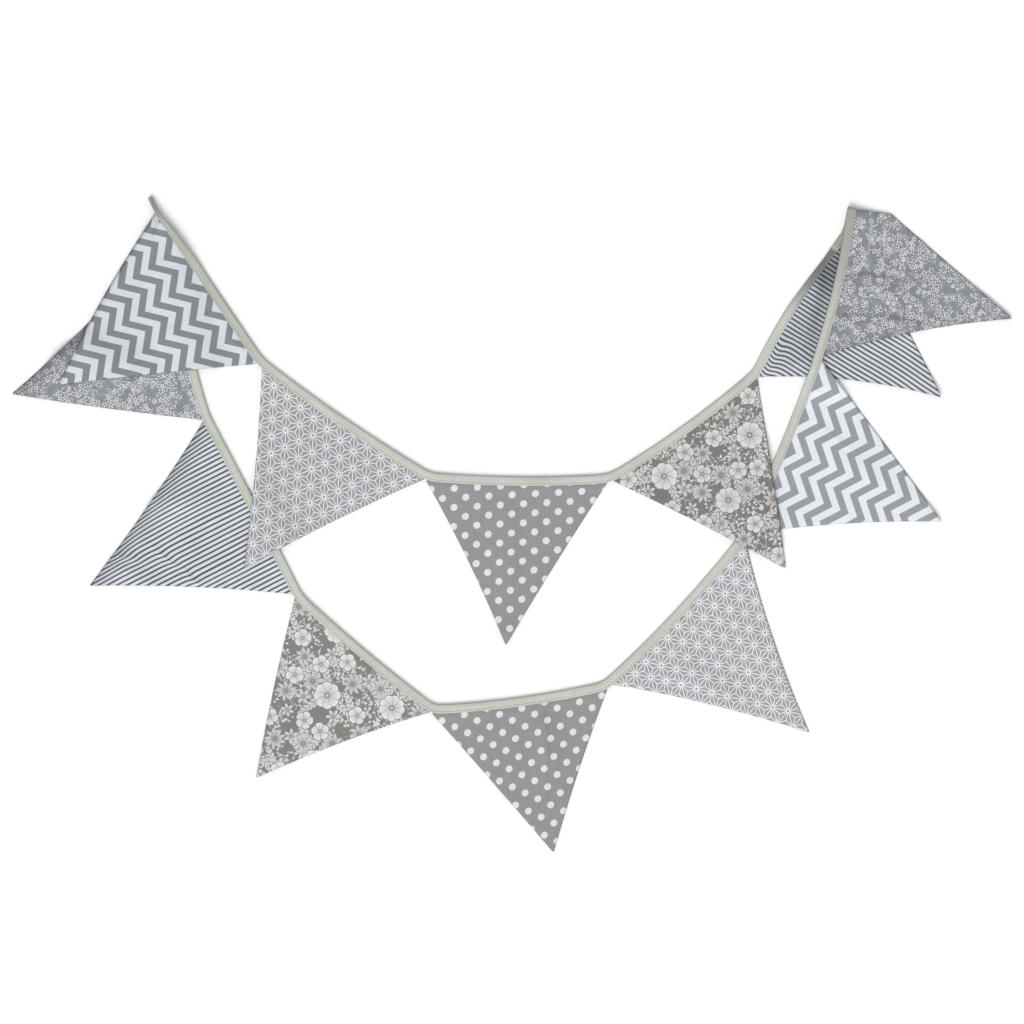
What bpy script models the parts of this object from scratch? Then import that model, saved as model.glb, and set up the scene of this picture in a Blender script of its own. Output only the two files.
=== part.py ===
"""A cotton bunting laid out flat: twelve flags on one folded tape.

The string runs down a first swag of five flags, is folded flat over
itself at its sixth flag, and comes back along a second, lower swag.
Everything is worked out on the unfolded string and then folded over.
"""
import math
from collections import namedtuple

import bmesh
import bpy
import numpy as np

# Sizes are in millimetres here and become metres in the meshes.
METRE = 1000.0

CLOTH = 1.0           # a flag: two layers of cotton sewn together
TAPE_WIDTH = 10.0
TAPE_HEIGHT = 3.0     # the folded tape over a flag's top edge
SLOT = 1.64           # room between the tape's two leaves
CLOSED_EDGE = 1.0     # thickness of the tape along its closed edge
EDGE_ROUND = 0.5      # how far the closed edge is rounded off
TUCK = 7.0            # how deep a flag's top edge sits in the tape
TUCK_END = 2.6        # what is always left between that edge and the closed edge
TIP = 3.0             # a flag's tip is this blunt
FALL = 14.0           # a flag comes down from the tape over this distance
STEPS = 17            # mesh steps along a flag's taped edge

# Layers: 0 lies on the table, 1 came back over it, 2 lies over both.
CLEAR = 0.8           # air between one layer and the next
REACH = 16.0          # cloth lies on what is under it from this far off
SLOPE = 0.3           # steepest way that cloth comes down from an edge
CELL = 2.0            # spacing of the height maps
MAP_HALF_X = 610.0
MAP_HALF_Y = 430.0
BLUR_PASSES = 3
EASE_PASSES = 14
RIM_SHARE = 0.02      # a triangle marks cells this far past its sides
TINY_AREA = 1e-6
TINY_LENGTH = 1e-4
SAME_PLACE = 0.01     # points nearer than this are one point

# The flat fold: a point of its axis, its direction and its radius.
CREASE_AT = np.array((368.7, 345.7))
CREASE_TURN = math.radians(-8.5)
CREASE_ALONG = np.array((math.cos(CREASE_TURN), math.sin(CREASE_TURN)))
CREASE_BEYOND = np.array((-math.sin(CREASE_TURN), math.cos(CREASE_TURN)))
BEND = 1.8
BEND_STEPS = 6
CREASE_ZONE = 25.0    # the tape's folds run along the crease this near to it

Flag = namedtuple("Flag", "name cloth layer start end tip belly start_side end_side")

# start, end: where the flag's sides meet the tape, in string order.
# belly: how far the taped edge sags towards the tip; start_side and
# end_side: how far those two sides are drawn in halfway to the tip.
FLAGS = [
    Flag("flag_01", "zigzag", 2, (-390.5, 341.0), (-280.0, 176.6), (-496.7, 153.5), 0.0, -4.4, 1.0),
    Flag("flag_02", "star", 2, (-273.4, 171.1), (-95.7, 50.1), (-293.2, -47.9), 3.3, 2.6, 3.0),
    Flag("flag_03", "dot", 2, (-93.0, 47.9), (104.6, 45.7), (-6.1, -132.0), 3.8, 3.2, 1.2),
    Flag("flag_04", "flower", 2, (112.8, 47.9), (269.5, 160.6), (300.9, -47.9), 4.4, 1.5, -0.6),
    Flag("flag_05", "stripe", 0, (271.7, 162.3), (370.7, 317.4), (471.4, 139.7), -5.5, 8.0, -4.4),
    Flag("flag_06", "sprig", 1, (374.0, 322.9), (341.6, 185.4), (549.5, 226.1), 5.0, 0.5, 6.5),
    Flag("flag_07", "zigzag", 1, (340.5, 179.3), (262.9, -8.8), (471.4, 3.9), 2.2, -1.0, 4.2),
    Flag("flag_08", "star", 1, (256.9, -18.7), (111.7, -174.9), (326.7, -227.7), 4.5, 5.2, 4.4),
    Flag("flag_09", "dot", 1, (104.5, -181.5), (-86.4, -207.4), (46.2, -359.2), 4.4, 2.0, 0.6),
    Flag("flag_10", "flower", 1, (-90.3, -205.4), (-237.6, -81.7), (-280.0, -277.2), 2.6, 3.2, -1.8),
    Flag("flag_11", "stripe", 1, (-240.4, -75.7), (-337.9, 113.3), (-462.6, -66.6), -0.6, 3.5, 2.8),
    Flag("flag_12", "sprig", 1, (-339.4, 115.5), (-385.6, 309.7), (-547.8, 143.6), 3.3, -1.5, 5.5),
]
FOLDED_FLAG = "flag_06"

# The tape's two loose ends, along its flag side.
FIRST_END = (-398.4, 358.1)
LAST_END = (-390.2, 333.9)

# The tape is rolled narrower at its first end and just before the fold.
# Columns: flag, distance from its start corner along the tape, width there.
NARROWINGS = [
    ("flag_01", -25.0, 4.6),
    ("flag_01", 4.0, 5.2),
    ("flag_01", 30.0, 8.2),
    ("flag_01", 70.0, 10.0),
    ("flag_05", 80.0, 10.0),
    ("flag_05", 107.0, 8.3),
    ("flag_05", 148.0, 6.6),
    ("flag_05", 184.0, 9.3),
    ("flag_06", 0.0, 9.6),
    ("flag_06", 12.0, 10.0),
]

# Soft swells in the cloth. Columns: flag, share of the way from the start
# to the end corner, share of the way to the tip, heading from the taped
# edge in degrees, half length, half width, height.
SWELLS = [
    ("flag_01", 0.30, 0.35, 70.0, 60.0, 16.0, 2.6),
    ("flag_01", 0.75, 0.55, 100.0, 40.0, 14.0, 1.6),
    ("flag_02", 0.30, 0.40, 82.0, 60.0, 16.0, 1.8),
    ("flag_02", 0.80, 0.20, 60.0, 40.0, 14.0, 1.6),
    ("flag_03", 0.45, 0.45, 86.0, 60.0, 14.0, 2.2),
    ("flag_03", 0.50, 0.95, 0.0, 18.0, 14.0, 2.5),
    ("flag_04", 0.35, 0.30, 75.0, 45.0, 14.0, 2.0),
    ("flag_04", 0.55, 0.72, 95.0, 45.0, 13.0, 1.6),
    ("flag_05", 0.10, 0.10, 60.0, 24.0, 12.0, 2.4),
    ("flag_05", 0.12, 0.60, 62.0, 60.0, 14.0, 2.2),
    ("flag_05", 0.50, 0.97, 20.0, 18.0, 14.0, 3.0),
    ("flag_06", 0.62, 0.25, 97.0, 42.0, 12.0, 2.6),
    ("flag_06", 0.86, 0.20, 92.0, 48.0, 12.0, 2.2),
    ("flag_06", 0.35, 0.90, 60.0, 40.0, 13.0, 2.4),
    ("flag_07", 0.40, 0.45, 78.0, 55.0, 16.0, 2.0),
    ("flag_07", 0.50, 0.94, 10.0, 20.0, 16.0, 2.2),
    ("flag_08", 0.82, 0.42, 100.0, 48.0, 13.0, 2.4),
    ("flag_08", 0.25, 0.50, 70.0, 48.0, 15.0, 1.6),
    ("flag_09", 0.37, 0.28, 88.0, 60.0, 12.0, 3.2),
    ("flag_09", 0.80, 0.50, 60.0, 45.0, 13.0, 1.8),
    ("flag_10", 0.45, 0.35, 84.0, 55.0, 15.0, 2.0),
    ("flag_10", 0.30, 0.85, 95.0, 36.0, 13.0, 2.2),
    ("flag_11", 0.96, 0.45, 58.0, 75.0, 13.0, 3.6),
    ("flag_11", 0.20, 0.75, 30.0, 45.0, 12.0, 2.6),
    ("flag_12", 0.98, 0.70, 57.0, 70.0, 14.0, 6.5),
    ("flag_12", 0.25, 0.55, 84.0, 55.0, 14.0, 1.6),
]
SWELL_FADE = 26.0     # swells die out over this distance from the tape

COLOURS = {
    "zigzag": (0.53, 0.55, 0.59),
    "star": (0.54, 0.54, 0.56),
    "dot": (0.39, 0.41, 0.41),
    "flower": (0.40, 0.39, 0.38),
    "stripe": (0.40, 0.42, 0.45),
    "sprig": (0.38, 0.39, 0.41),
    "tape": (0.53, 0.55, 0.50),
}
ROUGHNESS = 0.9


def unit(vector):
    """The vector at length one."""
    return vector / np.linalg.norm(vector)


def left_of(direction):
    """The direction a quarter turn to the left."""
    return np.array((-direction[1], direction[0]))


def unfold(place):
    """Where a point of the returning swag lay before the fold."""
    behind = (np.array(place) - CREASE_AT) @ CREASE_BEYOND
    return np.array(place) + (math.pi * BEND - 2.0 * behind) * CREASE_BEYOND


def fold_over(flat):
    """Places and turning angles of points of the unfolded string."""
    out = flat - CREASE_AT
    along = out @ CREASE_ALONG
    beyond = out @ CREASE_BEYOND
    turn = np.clip(beyond / BEND, 0.0, math.pi)
    reach = np.where(beyond < 0.0, beyond, BEND * np.sin(turn))
    reach = np.where(turn >= math.pi, math.pi * BEND - beyond, reach)
    place = CREASE_AT + np.outer(along, CREASE_ALONG) + np.outer(reach, CREASE_BEYOND)
    return place, turn


def up_directions(turn):
    """The cloth's upward directions at turning angles of the fold."""
    return np.column_stack((np.outer(-np.sin(turn), CREASE_BEYOND), np.cos(turn)))


def crease_foot(flat):
    """The nearest points of the crease."""
    along = (flat - CREASE_AT) @ CREASE_ALONG
    return CREASE_AT + np.outer(along, CREASE_ALONG)


def flat_corners(flag):
    """Start, end and tip of a flag on the unfolded string."""
    start, end, tip = (np.array(corner) for corner in (flag.start, flag.end, flag.tip))
    if flag.layer != 1:
        return start, end, tip
    if flag.name != FOLDED_FLAG:
        start = unfold(start)
    return start, unfold(end), unfold(tip)


def inward(first, second, inside):
    """Unit normal of a side, towards the flag's inside."""
    normal = left_of(unit(second - first))
    return normal if (inside - first) @ normal > 0.0 else -normal


def flag_point(flag, to_end, to_tip):
    """A point of a flag from its shares towards the end corner and the tip."""
    start, end, tip = flat_corners(flag)
    to_start = 1.0 - to_end - to_tip
    point = to_start * start + to_end * end + to_tip * tip
    point = point + 4.0 * flag.belly * to_start * to_end * inward(start, end, tip)
    point = point + 4.0 * flag.start_side * to_start * to_tip * inward(start, tip, end)
    return point + 4.0 * flag.end_side * to_end * to_tip * inward(end, tip, start)


class Station:
    """One cross-section of the tape on the unfolded string."""

    def __init__(self, flat, flag, distance, layer):
        self.flat = flat
        self.flag = flag
        self.distance = distance
        self.layer = layer
        self.across = None
        self.width = TAPE_WIDTH
        self.height = 0.0

    def tuck(self):
        """How deep a flag sits in the tape here."""
        return min(TUCK, self.width - TUCK_END)


def make_stations():
    """The tape's cross-sections in order, on its flag side."""
    first = np.array(FIRST_END)
    half = 0.5 * (np.array(FLAGS[0].start) - first)
    loose = float(np.linalg.norm(half))
    stations = [Station(first, FLAGS[0].name, -2.0 * loose, FLAGS[0].layer)]
    stations.append(Station(first + half, FLAGS[0].name, -loose, FLAGS[0].layer))
    for flag in FLAGS:
        before = None
        distance = 0.0
        for step in range(STEPS + 1):
            flat = flag_point(flag, step / STEPS, 0.0)
            layer = flag.layer
            if flag.name == FOLDED_FLAG:
                for bent in bends_between(before, flat):
                    stations.append(Station(bent, flag.name, distance, layer))
            if before is not None:
                distance += float(np.linalg.norm(flat - before))
            stations.append(Station(flat, flag.name, distance, layer))
            before = flat
    half = 0.5 * (unfold(LAST_END) - before)
    loose = float(np.linalg.norm(half))
    for count in (1, 2):
        stations.append(Station(before + count * half, FLAGS[-1].name,
                                distance + count * loose, FLAGS[-1].layer))
    for place, station in enumerate(stations):
        before = stations[max(place - 1, 0)].flat
        after = stations[min(place + 1, len(stations) - 1)].flat
        square = left_of(unit(after - before))
        near = abs((station.flat - CREASE_AT) @ CREASE_BEYOND) / CREASE_ZONE
        share = min(max(2.0 - near, 0.0), 1.0)
        station.across = unit((1.0 - share) * square - share * CREASE_ALONG)
        station.width = tape_width(station)
    return stations


def bends_between(before, after):
    """Points between two stations where the fold bends."""
    if before is None:
        return []
    first = (before - CREASE_AT) @ CREASE_BEYOND
    second = (after - CREASE_AT) @ CREASE_BEYOND
    points = []
    for step in range(BEND_STEPS + 1):
        level = math.pi * BEND * step / BEND_STEPS
        if first < level < second:
            points.append(before + (after - before) * (level - first) / (second - first))
    return points


def tape_width(station):
    """The tape's width at a station."""
    rows = [row for row in NARROWINGS if row[0] == station.flag]
    if not rows:
        return TAPE_WIDTH
    reach = [row[1] for row in rows]
    width = [row[2] for row in rows]
    return float(np.interp(station.distance, reach, width))


def blank_map():
    """A height map of the table, all at nought."""
    return np.zeros((int(2.0 * MAP_HALF_Y / CELL), int(2.0 * MAP_HALF_X / CELL)))


def map_height(ground, places):
    """Heights of a map at places, between its cells."""
    column = (places[:, 0] + MAP_HALF_X) / CELL - 0.5
    row = (places[:, 1] + MAP_HALF_Y) / CELL - 0.5
    left = np.clip(np.floor(column).astype(int), 0, ground.shape[1] - 2)
    low = np.clip(np.floor(row).astype(int), 0, ground.shape[0] - 2)
    right_share = column - left
    high_share = row - low
    below = ground[low, left] * (1.0 - right_share) + ground[low, left + 1] * right_share
    above = ground[low + 1, left] * (1.0 - right_share) + ground[low + 1, left + 1] * right_share
    return below * (1.0 - high_share) + above * high_share


def stamp(ground, points, faces):
    """Raise a height map to the top of triangles laid over it."""
    for face in faces:
        corners = points[list(face)]
        low = corners.min(axis=0)
        high = corners.max(axis=0)
        columns = np.arange(int((low[0] + MAP_HALF_X) / CELL), int((high[0] + MAP_HALF_X) / CELL) + 1)
        rows = np.arange(int((low[1] + MAP_HALF_Y) / CELL), int((high[1] + MAP_HALF_Y) / CELL) + 1)
        x, y = np.meshgrid((columns + 0.5) * CELL - MAP_HALF_X, (rows + 0.5) * CELL - MAP_HALF_Y)
        side_a = corners[1, :2] - corners[0, :2]
        side_b = corners[2, :2] - corners[0, :2]
        area = side_a[0] * side_b[1] - side_a[1] * side_b[0]
        if abs(area) < TINY_AREA:
            continue
        dx = x - corners[0, 0]
        dy = y - corners[0, 1]
        to_second = (dx * side_b[1] - dy * side_b[0]) / area
        to_third = (dy * side_a[0] - dx * side_a[1]) / area
        inside = (to_second >= -RIM_SHARE) & (to_third >= -RIM_SHARE)
        inside &= to_second + to_third <= 1.0 + RIM_SHARE
        height = corners[0, 2] + to_second * (corners[1, 2] - corners[0, 2])
        height = height + to_third * (corners[2, 2] - corners[0, 2])
        window = ground[rows[0]:rows[-1] + 1, columns[0]:columns[-1] + 1]
        window[inside] = np.maximum(window, height)[inside]


def shifted(ground, down, right):
    """A height map moved by whole cells, with the table beyond its rim."""
    size = max(abs(down), abs(right))
    padded = np.pad(ground, size)
    rows, columns = ground.shape
    return padded[size + down:size + down + rows, size + right:size + right + columns]


def draped(tops):
    """The soft ground that the next layer lies on."""
    ground = np.where(tops > 0.0, tops + CLEAR, 0.0)
    reach = int(REACH / CELL)
    spread = ground.copy()
    for down in range(-reach, reach + 1):
        for right in range(-reach, reach + 1):
            if down * down + right * right <= reach * reach:
                spread = np.maximum(spread, shifted(ground, down, right))
    ground = spread
    for _ in range(EASE_PASSES):
        eased = ground.copy()
        for down, right in ((0, 1), (0, -1), (1, 0), (-1, 0), (1, 1), (1, -1), (-1, 1), (-1, -1)):
            drop = SLOPE * CELL * math.hypot(down, right)
            eased = np.maximum(eased, shifted(ground, down, right) - drop)
        ground = eased
    for _ in range(BLUR_PASSES):
        ground = sum(shifted(ground, down, right) for down in (-1, 0, 1) for right in (-1, 0, 1)) / 9.0
    return ground


def smooth_share(value):
    """A share from nought to one with soft ends."""
    value = np.clip(value, 0.0, 1.0)
    return value * value * (3.0 - 2.0 * value)


def swell_height(flag, flat, distance):
    """How far the cloth of a flag swells up at points of it."""
    start, end, _ = flat_corners(flag)
    base = unit(end - start)
    down = inward(start, end, flat_corners(flag)[2])
    height = np.zeros(len(flat))
    for name, to_end, to_tip, heading, half_length, half_width, rise in SWELLS:
        if name != flag.name:
            continue
        centre = flag_point(flag, to_end * (1.0 - to_tip), to_tip)
        angle = math.radians(heading)
        way = math.cos(angle) * base + math.sin(angle) * down
        side = -math.sin(angle) * base + math.cos(angle) * down
        out = flat - centre
        height += rise * np.exp(-(out @ way / half_length) ** 2 - (out @ side / half_width) ** 2)
    return height * smooth_share(distance / SWELL_FADE)


def flag_mesh(flag):
    """Flat points and triangles of a flag below the tape, taped row first."""
    points = []
    rows = []
    last = STEPS - 1
    blunt = 1.0 - TIP / float(np.linalg.norm(flat_corners(flag)[1] - flat_corners(flag)[0]))
    for row in range(STEPS):
        to_tip = blunt * row / last
        spots = STEPS - row
        rows.append(list(range(len(points), len(points) + spots + 1)))
        for spot in range(spots + 1):
            points.append(flag_point(flag, (1.0 - to_tip) * spot / spots, to_tip))
    faces = []
    for upper, lower in zip(rows, rows[1:]):
        for spot in range(len(lower)):
            faces.append((upper[spot], lower[spot], upper[spot + 1]))
        for spot in range(len(lower) - 1):
            faces.append((lower[spot], lower[spot + 1], upper[spot + 1]))
    return np.array(points), faces


def split_at_bends(points, faces):
    """The same flat mesh with edges along every line where the fold bends."""
    mesh = bmesh.new()
    corners = [mesh.verts.new((point[0], point[1], 0.0)) for point in points]
    for face in faces:
        mesh.faces.new([corners[corner] for corner in face])
    normal = (CREASE_BEYOND[0], CREASE_BEYOND[1], 0.0)
    for step in range(BEND_STEPS + 1):
        at = CREASE_AT + math.pi * BEND * step / BEND_STEPS * CREASE_BEYOND
        geometry = mesh.verts[:] + mesh.edges[:] + mesh.faces[:]
        bmesh.ops.bisect_plane(mesh, geom=geometry, dist=TINY_LENGTH, plane_co=(at[0], at[1], 0.0),
                               plane_no=normal)
    bmesh.ops.triangulate(mesh, faces=mesh.faces[:])
    mesh.verts.index_update()
    points = np.array([vertex.co[:2] for vertex in mesh.verts])
    faces = [tuple(vertex.index for vertex in face.verts) for face in mesh.faces]
    mesh.free()
    return points, faces


def below_tape(flag, flat):
    """Distance of points of a flag from its taped edge."""
    start, end, tip = flat_corners(flag)
    down = inward(start, end, tip)
    share = (flat - start) @ (end - start) / ((end - start) @ (end - start))
    sag = 4.0 * flag.belly * np.clip(share * (1.0 - share), 0.0, 1.0)
    return np.maximum((flat - start) @ down - sag, 0.0)


def cloth_height(layer, grounds, place, fall, swell):
    """Height of a flag's middle where it lies on a layer's ground."""
    at_tape = 0.5 * (TAPE_HEIGHT - CLOTH)
    return map_height(grounds[layer], place) + 0.5 * CLOTH + at_tape * (1.0 - fall) + swell


def lay_flag(flag, grounds, stations):
    """Middle points, their up directions and the triangles of a laid flag."""
    flat, faces = flag_mesh(flag)
    if flag.name == FOLDED_FLAG:
        flat, faces = split_at_bends(flat, faces)
    place, turn = fold_over(flat)
    distance = below_tape(flag, flat)
    fall = smooth_share(distance / FALL)
    swell = swell_height(flag, flat, distance)
    height = cloth_height(flag.layer, grounds, place, fall, swell)
    if flag.name == FOLDED_FLAG:
        foot = crease_foot(flat)
        under = cloth_height(0, grounds, place, fall, 0.0)
        low = cloth_height(0, grounds, foot, fall, 0.0)
        high = cloth_height(1, grounds, foot, fall, swell)
        bent = low + (high - low) * 0.5 * (1.0 - np.cos(turn))
        height = np.where(turn <= 0.0, under, np.where(turn >= math.pi, height, bent))
    up = up_directions(turn)
    middle = np.column_stack((place, height))
    own = [station for station in stations if station.flag == flag.name]
    own = [station for station in own if distance_to(flat, station.flat).min() < SAME_PLACE]
    edge = [int(distance_to(flat, station.flat).argmin()) for station in own]
    for station, corner in zip(own, edge):
        middle[corner, 2] = station.height
    tucked = np.array([station.flat + station.across * station.tuck() for station in own])
    tucked_place, tucked_turn = fold_over(tucked)
    heights = [station.height for station in own]
    first = len(middle)
    middle = np.vstack((middle, np.column_stack((tucked_place, heights))))
    up = np.vstack((up, up_directions(tucked_turn)))
    turn = np.concatenate((turn, tucked_turn))
    for spot in range(len(own) - 1):
        here, there = edge[spot], edge[spot + 1]
        faces.append((first + spot, here, there))
        faces.append((first + spot, there, first + spot + 1))
    return middle, up, turn, faces


def distance_to(points, point):
    """Distances of points from one point."""
    return np.linalg.norm(points - point, axis=1)


def thickened(middle, up, faces, thickness):
    """Points and faces of a closed sheet round its middle."""
    top = middle + 0.5 * thickness * up
    bottom = middle - 0.5 * thickness * up
    count = len(middle)
    solid = [tuple(face) for face in faces]
    solid += [tuple(count + corner for corner in reversed(face)) for face in faces]
    directed = set()
    for face in faces:
        for here, there in zip(face, face[1:] + face[:1]):
            directed.add((here, there))
    for here, there in sorted(directed):
        if (there, here) not in directed:
            solid.append((here, here + count, there + count))
            solid.append((here, there + count, there))
    return np.vstack((top, bottom)), solid


def tape_section(width):
    """The folded tape's outline: across from its flag side, and up."""
    half = 0.5 * TAPE_HEIGHT
    gap = 0.5 * SLOT
    inner = width - CLOSED_EDGE
    return [
        (0.0, -half),
        (width - EDGE_ROUND, -half),
        (width, -half + EDGE_ROUND),
        (width, half - EDGE_ROUND),
        (width - EDGE_ROUND, half),
        (0.0, half),
        (0.0, gap),
        (inner, gap),
        (inner, -gap),
        (0.0, -gap),
    ]


def station_heights(stations, grounds):
    """Set the height of the tape's middle at every station."""
    crease = None
    for station in stations:
        centre = (station.flat + 0.5 * station.width * station.across)[None, :]
        place, turn = fold_over(centre)
        layer = 0 if station.flag == FOLDED_FLAG and turn[0] <= 0.0 else station.layer
        if 0.0 < turn[0] < math.pi:
            if crease is None:
                crease = float(map_height(grounds[1], crease_foot(centre))[0])
            lift = 0.5 * crease * (1.0 - math.cos(turn[0]))
        else:
            lift = float(map_height(grounds[layer], place)[0])
        station.height = lift + 0.5 * TAPE_HEIGHT


def tape_top(stations, turned):
    """Flat strip over the tape's stations on one side of the fold."""
    points = []
    for station in stations:
        pair = np.array([station.flat, station.flat + station.width * station.across])
        place, turn = fold_over(pair)
        if (turn[0] >= math.pi) == turned:
            for spot in place:
                points.append((spot[0], spot[1], station.height + 0.5 * TAPE_HEIGHT))
    faces = []
    for corner in range(0, len(points) - 2, 2):
        faces.append((corner, corner + 1, corner + 2))
        faces.append((corner + 1, corner + 3, corner + 2))
    return np.array(points), faces


def tape_solid(stations):
    """Points and faces of the whole tape."""
    points = []
    for station in stations:
        section = tape_section(station.width)
        flat = np.array([station.flat + across * station.across for across, _ in section])
        place, turn = fold_over(flat)
        for (_, rise), spot, angle in zip(section, place, turn):
            shift = -rise * math.sin(angle) * CREASE_BEYOND
            points.append((spot[0] + shift[0], spot[1] + shift[1],
                           station.height + rise * math.cos(angle)))
    size = len(tape_section(TAPE_WIDTH))
    faces = [tuple(reversed(range(size)))]
    for ring in range(len(stations) - 1):
        for corner in range(size):
            here = ring * size + corner
            side = ring * size + (corner + 1) % size
            faces.append((here, side + size, here + size))
            faces.append((here, side, side + size))
    last = (len(stations) - 1) * size
    faces.append(tuple(last + corner for corner in range(size)))
    return np.array(points), faces


def lay_string():
    """Every piece of the bunting as points and faces, by node name."""
    stations = make_stations()
    grounds = {0: blank_map(), 1: blank_map(), 2: blank_map()}
    folded = next(flag for flag in FLAGS if flag.name == FOLDED_FLAG)

    station_heights(stations, grounds)
    tops = blank_map()
    for flag in FLAGS:
        if flag.layer == 0:
            middle, _, _, faces = lay_flag(flag, grounds, stations)
            stamp(tops, middle + (0.0, 0.0, 0.5 * CLOTH), faces)
    middle, _, turn, faces = lay_flag(folded, grounds, stations)
    under = [face for face in faces if turn[list(face)].max() <= 0.0]
    stamp(tops, middle + (0.0, 0.0, 0.5 * CLOTH), under)
    low = [station for station in stations if station.flag == FOLDED_FLAG or station.layer == 0]
    stamp(tops, *tape_top(low, False))
    grounds[1] = draped(tops)

    station_heights(stations, grounds)
    tops = blank_map()
    for flag in FLAGS:
        if flag.layer == 1:
            middle, _, turn, faces = lay_flag(flag, grounds, stations)
            over = [face for face in faces if turn[list(face)].min() >= math.pi]
            stamp(tops, middle + (0.0, 0.0, 0.5 * CLOTH), over)
    stamp(tops, *tape_top(stations, True))
    grounds[2] = draped(tops)

    station_heights(stations, grounds)
    pieces = {"tape": tape_solid(stations)}
    for flag in FLAGS:
        middle, up, _, faces = lay_flag(flag, grounds, stations)
        pieces[flag.name] = thickened(middle, up, faces, CLOTH)
    return pieces


def material(name):
    """The plain cloth material of one print or of the tape."""
    cloth = bpy.data.materials.get(name) or bpy.data.materials.new(name)
    cloth.use_nodes = True
    shader = cloth.node_tree.nodes["Principled BSDF"]
    shader.inputs["Base Color"].default_value = (*COLOURS[name], 1.0)
    shader.inputs["Roughness"].default_value = ROUGHNESS
    shader.inputs["Metallic"].default_value = 0.0
    return cloth


def main():
    """Clear the scene and build the bunting's pieces."""
    for thing in list(bpy.data.objects):
        bpy.data.objects.remove(thing, do_unlink=True)
    pieces = lay_string()
    everything = np.vstack([points for points, _ in pieces.values()])
    low = everything.min(axis=0)
    high = everything.max(axis=0)
    origin = np.array((0.5 * (low[0] + high[0]), 0.5 * (low[1] + high[1]), low[2]))
    cloths = {flag.name: flag.cloth for flag in FLAGS}
    for name, (points, faces) in pieces.items():
        mesh = bpy.data.meshes.new(name)
        mesh.from_pydata([tuple(point) for point in (points - origin) / METRE], [], faces)
        mesh.materials.append(material(cloths.get(name, "tape")))
        mesh.update()
        piece = bpy.data.objects.new(name, mesh)
        bpy.context.scene.collection.objects.link(piece)


main()
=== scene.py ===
import math
from collections import namedtuple

import bpy
import numpy as np
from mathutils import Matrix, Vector
from mathutils.bvhtree import BVHTree


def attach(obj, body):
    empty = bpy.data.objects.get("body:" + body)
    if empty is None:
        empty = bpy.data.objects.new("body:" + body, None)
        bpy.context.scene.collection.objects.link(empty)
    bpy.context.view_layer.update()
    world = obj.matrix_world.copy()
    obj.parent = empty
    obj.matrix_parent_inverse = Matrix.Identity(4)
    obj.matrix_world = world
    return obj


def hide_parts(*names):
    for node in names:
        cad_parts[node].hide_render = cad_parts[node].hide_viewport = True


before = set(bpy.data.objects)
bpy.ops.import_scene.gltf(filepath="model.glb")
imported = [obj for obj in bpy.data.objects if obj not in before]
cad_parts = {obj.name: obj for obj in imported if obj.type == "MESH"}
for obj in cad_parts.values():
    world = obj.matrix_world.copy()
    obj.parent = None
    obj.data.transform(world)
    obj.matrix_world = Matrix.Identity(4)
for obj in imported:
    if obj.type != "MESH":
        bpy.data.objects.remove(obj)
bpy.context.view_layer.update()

# Sizes are in millimetres here and become metres in the meshes.
METRE = 1000.0
SHIFT = np.array((-0.8493, -1.6434))   # from the tables' origin to the part's

HALF_SOLID = 0.5      # half the thickness of the part's own flags
CLOTH = 0.96          # a flag: two layers of cotton sewn together
RIM_CLOTH = 0.46      # along its turned sides
TUCKED_CLOTH = 0.6    # pressed between the tape's leaves
BENT_CLOTH = 0.2      # and there in the bend of the fold
PRESSED = 3.0         # cloth this near to the tape is pressed too
TAPE_WIDTH = 10.0
TAPE_HALF = 1.5       # half the closed tape's height
TAPE_GAP = 0.7        # from the tape's middle to the inside of each leaf
TUCK = 6.6            # how deep a flag's top edge sits in the tape
TUCK_END = 2.6        # what is always left between that edge and the closed edge
TUCK_ROWS = (0.5, 1.0)
TIP = 1.4             # a flag's tip is this blunt
FALL = 11.0           # a flag comes down from the tape over this distance
ROWS = 96             # rows of a flag's mesh
WANDER = 1.5          # creases wander this far aside
WANDER_LENGTH = 13.0

# The flat fold: a point of its axis, its direction and its radius.
CREASE_AT = np.array((368.7, 345.7))
CREASE_TURN = math.radians(-8.5)
CREASE_ALONG = np.array((math.cos(CREASE_TURN), math.sin(CREASE_TURN)))
CREASE_BEYOND = np.array((-math.sin(CREASE_TURN), math.cos(CREASE_TURN)))
BEND = 1.8
FOOT_INSET = 3.0      # heights at the fold are read this far inside it
CREASE_ZONE = 25.0    # the tape's folds run along the crease this near to it

Flag = namedtuple("Flag", "name cloth layer start end tip belly start_side end_side")

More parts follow.
